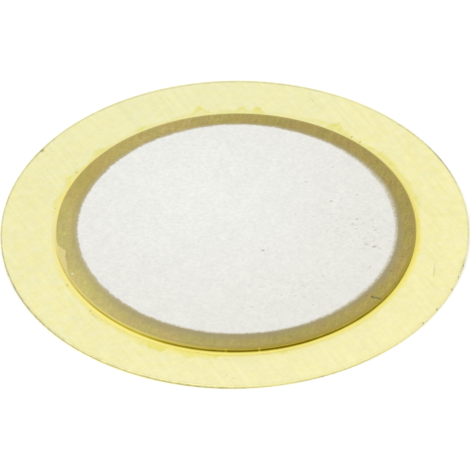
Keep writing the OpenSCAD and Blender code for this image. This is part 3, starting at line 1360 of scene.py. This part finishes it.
@dataclass
class SilverPrint(TurnedPiece):
    """The upper electrode: a thin print with a soft shoulder and a ragged edge.

    Attributes:
        shoulder: Width over which the print falls to its edge.
        rag: How far the edge wanders in long waves.
        rag_wave: How long such a wave is.
        fray: How far it wanders in short ones.
        fray_wave: How long such a wave is.
        margin: Width of the border that this moves.
        growth: How far the paste crept out all round.
        fringe: Width of the border in which the print thins out.
        crept: Where it crept out further or less far, and by how much.
        blurred: Where the fringe is wider, and by how much.
        frayed: Where the edge wanders less, as a share.
    """

    node: ClassVar[str] = "upper_electrode"

    shoulder: float = 0.05 * MM
    rag: float = 0.035 * MM
    rag_wave: float = 0.6 * MM
    fray: float = 0.04 * MM
    fray_wave: float = 0.3 * MM
    margin: float = 0.5 * MM
    growth: float = 0.015 * MM
    fringe: float = 0.13 * MM
    crept: Bells = bells(
        (302, 22, 0.06), (345, 16, 0.04), (8, 9, 0.015), (112, 14, 0.045), (90, 12, 0.055),
        (38, 12, 0.02), (150, 10, -0.015), (180, 14, 0.02), (226, 18, -0.04), (21, 2.5, 0.06), unit=MM,
    )
    blurred: Bells = bells((15, 30, 0.14), (318, 16, 0.08), unit=MM)
    frayed: Bells = bells((2, 34, -0.65), (50, 18, -0.25), (292, 30, -0.35))

    def profile(self) -> list[Point]:
        """Gives a flat top, a shoulder that falls away as a quarter ellipse and a flat foot.

        Returns:
            The points of the profile.
        """
        rim, top, bottom = self.layer.radius, self.layer.top, self.layer.bottom
        shares = (0.0, 0.3, 0.6, 0.8, 0.9, 0.95, 0.975, 0.98, 0.985, 0.99)
        face = [(rim * share, top) for share in shares]
        fall = arc((0.0, 0.0), 1.0, 90.0, 0.0, 6)
        drop = [(rim - self.shoulder * (1 - out), bottom + (top - bottom) * up) for out, up in fall]
        foot = [(rim * share, bottom) for share in (0.99, 0.95, 0.5, 0.0)]
        return face + drop + foot

    def spoil(self, work: Turning) -> None:
        """Makes the printed edge ragged and notes how thin the print is towards it.

        Args:
            work: The tree that turns the piece.
        """
        add, rim = work.add, self.layer.radius
        long, short = work.ripple(rim, self.rag_wave, seed=1.0), work.ripple(rim, self.fray_wave, seed=5.0)
        wave = add("Math MULTIPLY", long, work.size("Rag", self.rag))
        fray = add("Math MULTIPLY", short, work.size("Fray", self.fray))
        both = add("Math MULTIPLY", add("Math ADD", wave, fray), work.raised(self.frayed, 1.0))
        ragged = add("Math ADD", both, work.raised(self.crept, self.growth))
        outer = add("MapRange SMOOTHSTEP", work.radius, rim - self.margin, rim - 0.02 * MM)
        start = add("Math SUBTRACT", rim, work.raised(self.blurred, self.fringe))
        work.notes["thinness"] = add("MapRange SMOOTHSTEP", work.radius, start, rim)
        work.radius = add("Math ADD", work.radius, add("Math MULTIPLY", ragged, outer))


@dataclass
class EpoxyBond(TurnedPiece):
    """The epoxy: a bond under the ceramic and a hollow-faced fillet round its foot.

    Attributes:
        ceramic: Where the ceramic lies.
        electrode: Where the lower electrode lies.
        toe: Height of the fillet's outer toe.
        gap: How far below the ceramic's upper edge a drop that climbed all the way would stop.
        drops: Where the fillet climbs, as a share of the way up to there.
    """

    node: ClassVar[str] = "adhesive_layer"

    ceramic: Layer
    electrode: Layer
    toe: float = 0.01 * MM
    gap: float = 0.01 * MM
    drops: Bells = bells((266.3, 0.2, 0.3), (276.7, 0.26, 0.35))

    def profile(self) -> list[Point]:
        """Gives the bond, the seat of the lower electrode, the ceramic's foot and the fillet.

        Returns:
            The points of the profile.
        """
        foot, brass = self.ceramic.radius, self.layer.bottom
        width = self.layer.radius - foot
        rise = self.layer.top - brass - self.toe
        hollow = (width**2 + rise**2) / (2 * rise)
        sweep = math.degrees(math.asin(width / hollow))
        centre = (foot + width, brass + self.toe + hollow)
        bond, seat = self.electrode.bottom, self.ceramic.bottom
        inside = [(0.0, bond), (self.electrode.radius, bond), (self.electrode.radius, seat), (foot, seat)]
        fillet = arc(centre, hollow, 270.0 - sweep, 270.0, 16)
        base = [(self.layer.radius, brass), (0.5 * foot, brass), (0.0, brass)]
        return inside + fillet + base

    def spoil(self, work: Turning) -> None:
        """Lifts the drops.

        Args:
            work: The tree that turns the piece.
        """
        add = work.add
        near_wall = add("MapRange SMOOTHSTEP", work.radius, self.layer.radius, self.ceramic.radius)
        above = add("MapRange SMOOTHSTEP", work.height, self.ceramic.bottom, self.layer.top)
        room = work.size("Room", self.ceramic.top - self.layer.top - self.gap)
        climb = add("Math MULTIPLY", work.raised(self.drops, 0.0), room)
        lift = add("Math MULTIPLY", climb, add("Math MULTIPLY", near_wall, above))
        work.height = add("Math ADD", work.height, lift)


# ---------------------------------------------------------------- studio


class Ray(Enum):
    """The rays that see the white of the studio itself, and not only its light."""

    CAMERA = "Is Camera Ray"
    GLOSSY = "Is Glossy Ray"
    TRANSMISSION = "Is Transmission Ray"


class Stage(Tree):
    """The tree of something in the studio, which shows white to some rays and lights others."""

    def __init__(self, own: bpy.types.NodeTree) -> None:
        """Adds a mask of the rays that see the studio's white.

        Args:
            own: The tree.
        """
        super().__init__(own)
        path = self.add("LightPath").outputs
        self.seen: Value = 0.0
        for ray in Ray:
            self.seen = self.add("Math MAXIMUM", self.seen, path[ray.value])


@dataclass(frozen=True)
class Lamp:
    """A soft box.

    Attributes:
        name: Its name.
        azimuth: The direction that it stands in, in degrees.
        elevation: How high it stands, in degrees.
        distance: How far off it is.
        width: The width of its square face.
        power: Its power in watts.
    """

    name: str
    azimuth: float
    elevation: float
    distance: float
    width: float
    power: float

    def build(self) -> bpy.types.Object:
        """Makes the lamp, facing the disc.

        Returns:
            The lamp.
        """
        data = bpy.data.lights.new(self.name, "AREA")
        data.shape = "SQUARE"
        data.size = self.width
        data.energy = self.power
        lamp = bpy.data.objects.new(self.name, data)
        turn, rise = math.radians(self.azimuth), math.radians(self.elevation)
        level = math.cos(rise)
        away = Vector((math.cos(turn) * level, math.sin(turn) * level, math.sin(rise)))
        lamp.location = away * self.distance
        lamp.rotation_mode = "QUATERNION"
        lamp.rotation_quaternion = away.to_track_quat("Z", "Y")
        bpy.context.scene.collection.objects.link(lamp)
        return lamp


@dataclass
class Studio:
    """A white sweep, a white tent round it, one soft box and the camera.

    Attributes:
        floor_width: The width of the sweep.
        cut_out: Radius of the hole in the sweep under the disc.
        paper: The sweep's colour.
        lift: The white that the camera sees on the sweep beyond what the light gives it.
        fill: The level of the tent's own light.
        lamps: The soft boxes.
        elevation: The camera's height above the horizon, in degrees.
        distance: From the camera to the disc.
        roll: How far the camera leans clockwise, in degrees.
        lens_mm: The camera's focal length, on a sensor 36 mm wide.
        aim: Where the middle of the view falls, as metres right of and above the disc's centre.
    """

    WHITE: ClassVar[Colour] = (1.0, 1.0, 1.0, 1.0)

    floor_width: float = 3.0
    cut_out: float = 13.46 * MM
    paper: str = "#F2F2F2"
    lift: float = 0.18
    fill: float = 0.87
    lamps: tuple[Lamp, ...] = (
        Lamp("key", azimuth=212.0, elevation=50.0, distance=0.32, width=0.3, power=0.27),
    )
    elevation: float = 40.78
    distance: float = 0.4
    roll: float = 0.83
    lens_mm: float = 531.5
    aim: Point = (0.013 * MM, -0.177 * MM)

    def sweep(self) -> bpy.types.Object:
        """Makes the paper sweep, which shows white but keeps the disc's shadow.

        Returns:
            The sweep.
        """
        half = self.floor_width / 2
        mesh = bpy.data.meshes.new("sweep")
        square = [(-half, -half, 0.0), (half, -half, 0.0), (half, half, 0.0), (-half, half, 0.0)]
        mesh.from_pydata(square, [], [(0, 1, 2, 3)])
        material = bpy.data.materials.new("white_paper_sweep")
        stage = Stage(emptied(material))
        add = stage.add
        paper = add("BsdfDiffuse", linear(self.paper))
        glow = add("Emission", strength=add("Math MULTIPLY", stage.seen, self.lift))
        bright = add("AddShader", paper, glow)
        # The paper is cut out under the disc, and from below it isn't there, so that light and
        # eye reach the underside.
        away = add("VectorMath LENGTH", add("TexCoord").outputs["Object"]).outputs["Value"]
        under = add("Math LESS_THAN", away, self.cut_out)
        gone = add("Math MAXIMUM", under, add("NewGeometry").outputs["Backfacing"])
        add("OutputMaterial", add("MixShader", gone, bright, add("BsdfTransparent")))
        mesh.materials.append(material)
        floor = bpy.data.objects.new("sweep", mesh)
        bpy.context.scene.collection.objects.link(floor)
        return floor

    def tent(self) -> None:
        """Lights the scene evenly, and shows white where the tent itself is seen."""
        world = bpy.data.worlds.new("tent")
        stage = Stage(emptied(world))
        even, white = (stage.add("Background", self.WHITE, level) for level in (self.fill, 1.0))
        stage.add("OutputWorld", stage.add("MixShader", stage.seen, even, white))
        bpy.context.scene.world = world

    def camera(self) -> bpy.types.Object:
        """Makes the camera and sets it as the scene's.

        Returns:
            The camera.
        """
        data = bpy.data.cameras.new("camera")
        data.sensor_width = 36.0
        data.lens = self.lens_mm
        data.clip_start = 0.05
        data.clip_end = 10.0
        camera = bpy.data.objects.new("camera", data)
        lean = Matrix.Rotation(math.radians(90.0 - self.elevation), 4, "X")
        right, above = self.aim
        stand = lean @ Vector((right, above, self.distance))
        roll = Matrix.Rotation(math.radians(-self.roll), 4, "Z")
        camera.matrix_world = Matrix.Translation(stand) @ lean @ roll
        bpy.context.scene.collection.objects.link(camera)
        bpy.context.scene.camera = camera
        return camera

    def build(self) -> None:
        """Makes the sweep, the tent, the lamps and the camera."""
        self.sweep()
        self.tent()
        for lamp in self.lamps:
            lamp.build()
        self.camera()
        bpy.context.scene.view_settings.view_transform = "Standard"


# ---------------------------------------------------------------- the whole disc


def dress_node(node: str, finish: Finish) -> bpy.types.Object:
    """Gives a CAD node whose shape is right a finish of its own.

    Args:
        node: The CAD node.
        finish: What it is finished with.

    Returns:
        The node's object.
    """
    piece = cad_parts[node]
    piece.data.materials.clear()
    piece.data.materials.append(finish.build())
    return piece


def main() -> None:
    """Builds each piece in order, then the studio."""
    logging.basicConfig(level=logging.INFO, format="%(name)s: %(message)s")
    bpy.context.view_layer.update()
    plate, ceramic = Layer.of("brass_plate"), Layer.of("ceramic_disc")
    upper, lower = Layer.of("upper_electrode"), Layer.of("lower_electrode")
    bond = Layer.of("adhesive_layer")
    silver = FiredSilver(upper)
    work: list[tuple[TurnedPiece, Finish]] = [
        (BrassPlate(plate), RolledBrass(plate, ceramic)),
        (EpoxyBond(bond, ceramic, lower), CuredEpoxy(ceramic, bond.rim_mm - ceramic.rim_mm)),
        (CeramicDisc(ceramic), LappedCeramic(ceramic, upper)),
        (SilverPrint(upper), silver),
    ]
    for part, finish in work:
        piece = part.build(finish)
        LOG.info("%s: %d faces, finished as %s", piece.name, len(piece.data.polygons), finish.name)
    hidden = dress_node("lower_electrode", silver)
    LOG.info("%s: CAD shape, finished as %s", hidden.name, silver.name)
    Studio().build()


if __name__ == "__main__":
    main()
